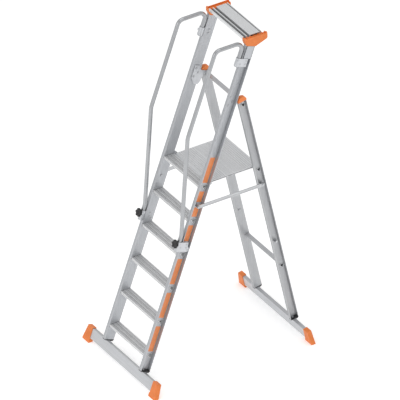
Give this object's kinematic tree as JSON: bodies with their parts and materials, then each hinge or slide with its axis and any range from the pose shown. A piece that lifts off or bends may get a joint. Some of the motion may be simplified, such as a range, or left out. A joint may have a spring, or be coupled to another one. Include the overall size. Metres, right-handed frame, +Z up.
{
  "type": "mobile ladder stand",
  "caption": "Folding aluminium platform ladder with wide stabiliser bars, hinged rear frame, fold-up deck, side struts, swivelling handrails and a tool tray.",
  "frame": {"origin": "centre of the footprint's bounding box, at floor level", "axes": "+Z up, +Y the way the user faces when climbing (from the stepped frame to the rear frame), +X to the user's right"},
  "size_m": [0.894, 1.2618, 2.4201],
  "materials": {
    "rail_aluminium": "satin extruded",
    "tread_aluminium": "ribbed extrusion",
    "deck_aluminium": "ribbed extrusion",
    "plate_aluminium": "rolled sheet",
    "tube_aluminium": "drawn tube",
    "tray_aluminium": "satin extruded",
    "orange_plastic": "moulded, fine texture",
    "orange_label": "plain self-adhesive strip",
    "black_plastic": "moulded",
    "zinc_steel": "zinc plated"
  },
  "bodies": {
    "front_frame": {"stringer_right": "rail_aluminium", "stringer_left": "rail_aluminium", "tread_1": "tread_aluminium", "tread_2": "tread_aluminium", "tread_3": "tread_aluminium", "tread_4": "tread_aluminium", "tread_5": "tread_aluminium", "front_step": "tread_aluminium", "front_bar": "rail_aluminium", "front_bar_caps": "orange_plastic", "stringer_plugs": "black_plastic", "front_bar_bolts": "zinc_steel", "handrail_bracket_lower_right": "plate_aluminium", "handrail_bracket_lower_left": "plate_aluminium", "handrail_bracket_upper_right": "plate_aluminium", "handrail_bracket_upper_left": "plate_aluminium", "bracket_bolts": "zinc_steel", "clamp_screws": "zinc_steel", "tray_posts": "rail_aluminium", "tool_tray": "tray_aluminium", "tray_cap_right": "orange_plastic", "tray_cap_left": "orange_plastic", "hinge_bracket_right": "plate_aluminium", "hinge_bracket_left": "plate_aluminium", "hinge_bracket_bolts": "zinc_steel", "deck_brackets": "plate_aluminium", "deck_bracket_rivets": "zinc_steel", "strut_latch_studs": "zinc_steel", "label_strips": "orange_label"},
    "rear_frame": {"rear_leg_right": "rail_aluminium", "rear_leg_left": "rail_aluminium", "rung_upper": "rail_aluminium", "rung_middle": "rail_aluminium", "rung_lower": "rail_aluminium", "rear_bar": "rail_aluminium", "rear_bar_caps": "orange_plastic", "leg_plugs": "black_plastic", "rear_bar_bolts": "zinc_steel", "leg_cap_right": "orange_plastic", "leg_cap_left": "orange_plastic", "hinge_pins": "zinc_steel", "strut_pivot_bolts": "zinc_steel", "strut_keeper_studs": "zinc_steel"},
    "platform": {"deck_plank_front": "deck_aluminium", "deck_plank_middle": "deck_aluminium", "deck_plank_rear": "deck_aluminium", "deck_side_rails": "plate_aluminium", "deck_pivot_pins": "zinc_steel"},
    "strut_right": {"strut_right": "plate_aluminium", "strut_button_right": "zinc_steel"},
    "strut_left": {"strut_left": "plate_aluminium", "strut_button_left": "zinc_steel"},
    "handrail_right": {"handrail_right": "tube_aluminium", "handrail_plugs_right": "black_plastic"},
    "handrail_left": {"handrail_left": "tube_aluminium", "handrail_plugs_left": "black_plastic"},
    "knob_right": {"star_knob_right": "black_plastic", "knob_stud_right": "zinc_steel"},
    "knob_left": {"star_knob_left": "black_plastic", "knob_stud_left": "zinc_steel"}
  },
  "joints": [
    {"name": "rear_fold", "type": "hinge", "parent": "front_frame", "child": "rear_frame", "pos_m": [0, 0.20098, 1.92796], "axis": [-1, 0, 0], "range_deg": [0, 32.45]},
    {"name": "platform_fold", "type": "hinge", "parent": "front_frame", "child": "platform", "pos_m": [0, -0.043, 1.372], "axis": [1, 0, 0], "range_deg": [0, 70.15]},
    {"name": "strut_right_fold", "type": "hinge", "parent": "rear_frame", "child": "strut_right", "pos_m": [0.244, 0.34287, 1.24595], "axis": [1, 0, 0], "range_deg": [0, 102.6]},
    {"name": "strut_left_fold", "type": "hinge", "parent": "rear_frame", "child": "strut_left", "pos_m": [-0.244, 0.34287, 1.24595], "axis": [1, 0, 0], "range_deg": [0, 102.6]},
    {"name": "handrail_right_swivel", "type": "hinge", "parent": "front_frame", "child": "handrail_right", "pos_m": [0.223, -0.14237, 1.42921], "axis": [0, 0.3396, 0.9406], "range_deg": [0, 90]},
    {"name": "handrail_left_swivel", "type": "hinge", "parent": "front_frame", "child": "handrail_left", "pos_m": [-0.223, -0.14237, 1.42921], "axis": [0, -0.3396, -0.9406], "range_deg": [0, 90]},
    {"name": "knob_right_turn", "type": "hinge", "parent": "front_frame", "child": "knob_right", "pos_m": [0.223, -0.32653, 1.00451], "axis": [0, -0.9406, 0.3396], "continuous": true},
    {"name": "knob_left_turn", "type": "hinge", "parent": "front_frame", "child": "knob_left", "pos_m": [-0.223, -0.32653, 1.00451], "axis": [0, -0.9406, 0.3396], "continuous": true}
  ],
  "couplings": [
    {"joint": "platform_fold", "follows": "rear_fold", "ratio": 2.1613},
    {"joint": "strut_right_fold", "follows": "rear_fold", "ratio": 3.1613},
    {"joint": "strut_left_fold", "follows": "rear_fold", "ratio": 3.1613}
  ]
}
